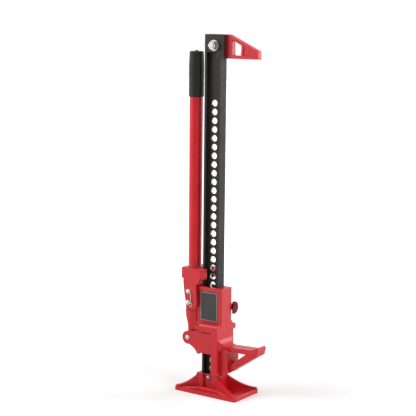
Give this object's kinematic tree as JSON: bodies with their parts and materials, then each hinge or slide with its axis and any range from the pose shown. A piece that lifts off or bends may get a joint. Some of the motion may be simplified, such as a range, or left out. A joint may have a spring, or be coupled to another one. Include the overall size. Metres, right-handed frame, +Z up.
{
  "type": "high lift jack",
  "caption": "Tall ladder jack: punched I-section rack on a ribbed base, climbing runners with a lifting nose, a swinging handle and a toothed top clamp.",
  "frame": {"origin": "centre of the rack at the underside of the base", "axes": "+Z up the rack, +X towards the lifting nose, +Y to the side with the climbing pins and the reversing latch"},
  "size_m": [0.232, 0.13, 0.91],
  "materials": {
    "casting_red": "gloss red paint over cast iron",
    "tube_red": "gloss red powder coat",
    "rack_black": "satin black paint",
    "zinc": "bright zinc plate",
    "pin_steel": "turned steel",
    "dark_steel": "black oxide",
    "spring_steel": "spring wire",
    "grip_black": "dipped black grip",
    "latch_red": "dark red paint"
  },
  "bodies": {
    "rack": {"rack_bar": "rack_black", "base_plate": "casting_red", "foot_bolt": "zinc", "foot_nut": "zinc", "clamp_saddle": "rack_black", "clamp_jaw": "casting_red", "clamp_bolt": "zinc", "clamp_nut": "zinc", "clamp_washer_near": "zinc", "clamp_washer_far": "zinc"},
    "runner": {"large_runner": "casting_red", "pivot_pin": "zinc", "pivot_cotter": "zinc", "upper_cage": "dark_steel", "upper_spring": "spring_steel"},
    "upper_climber": {"upper_pin": "pin_steel", "upper_cross_pin": "pin_steel"},
    "step_runner": {"small_runner": "casting_red", "pitman_pin": "zinc", "pitman_ring": "dark_steel", "lower_cage": "dark_steel", "lower_spring": "spring_steel"},
    "lower_climber": {"lower_pin": "pin_steel", "lower_cross_pin": "pin_steel"},
    "handle": {"handle_socket": "casting_red", "shear_bolt": "zinc", "shear_nut": "zinc", "handle_tube": "tube_red", "handle_grip": "grip_black"},
    "pitman_link": {"pitman": "casting_red"},
    "latch": {"reversing_latch": "latch_red", "latch_ring": "dark_steel"}
  },
  "joints": [
    {"name": "runner_slide", "type": "slide", "parent": "rack", "child": "runner", "axis": [0, 0, 1], "range_m": [0, 0.528]},
    {"name": "handle_swing", "type": "hinge", "parent": "runner", "child": "handle", "pos_m": [-0.057, 0, 0.229], "axis": [0, -1, 0], "range_deg": [0, 90]},
    {"name": "pitman_swing", "type": "hinge", "parent": "handle", "child": "pitman_link", "pos_m": [-0.057, 0, 0.2575], "axis": [0, -1, 0], "range_deg": [-76, 0]},
    {"name": "step_slide", "type": "slide", "parent": "runner", "child": "step_runner", "axis": [0, 0, 1], "range_m": [-0.0222, 0]},
    {"name": "upper_pin_slide", "type": "slide", "parent": "runner", "child": "upper_climber", "axis": [0, 1, 0], "range_m": [0, 0.008], "stiffness_N_per_m": 900, "springref_m": -0.01, "deforming": ["upper_spring"]},
    {"name": "lower_pin_slide", "type": "slide", "parent": "step_runner", "child": "lower_climber", "axis": [0, -1, 0], "range_m": [0, 0.008], "deforming": ["lower_spring"]},
    {"name": "latch_flip", "type": "hinge", "parent": "runner", "child": "latch", "pos_m": [0.03, 0.0305, 0.219], "axis": [-1, 0, 0], "range_deg": [0, 75]}
  ],
  "couplings": [
    {"joint": "pitman_swing", "follows": "handle_swing", "ratio": -0.8325},
    {"joint": "step_slide", "follows": "handle_swing", "m_per_rad": -0.014006}
  ]
}
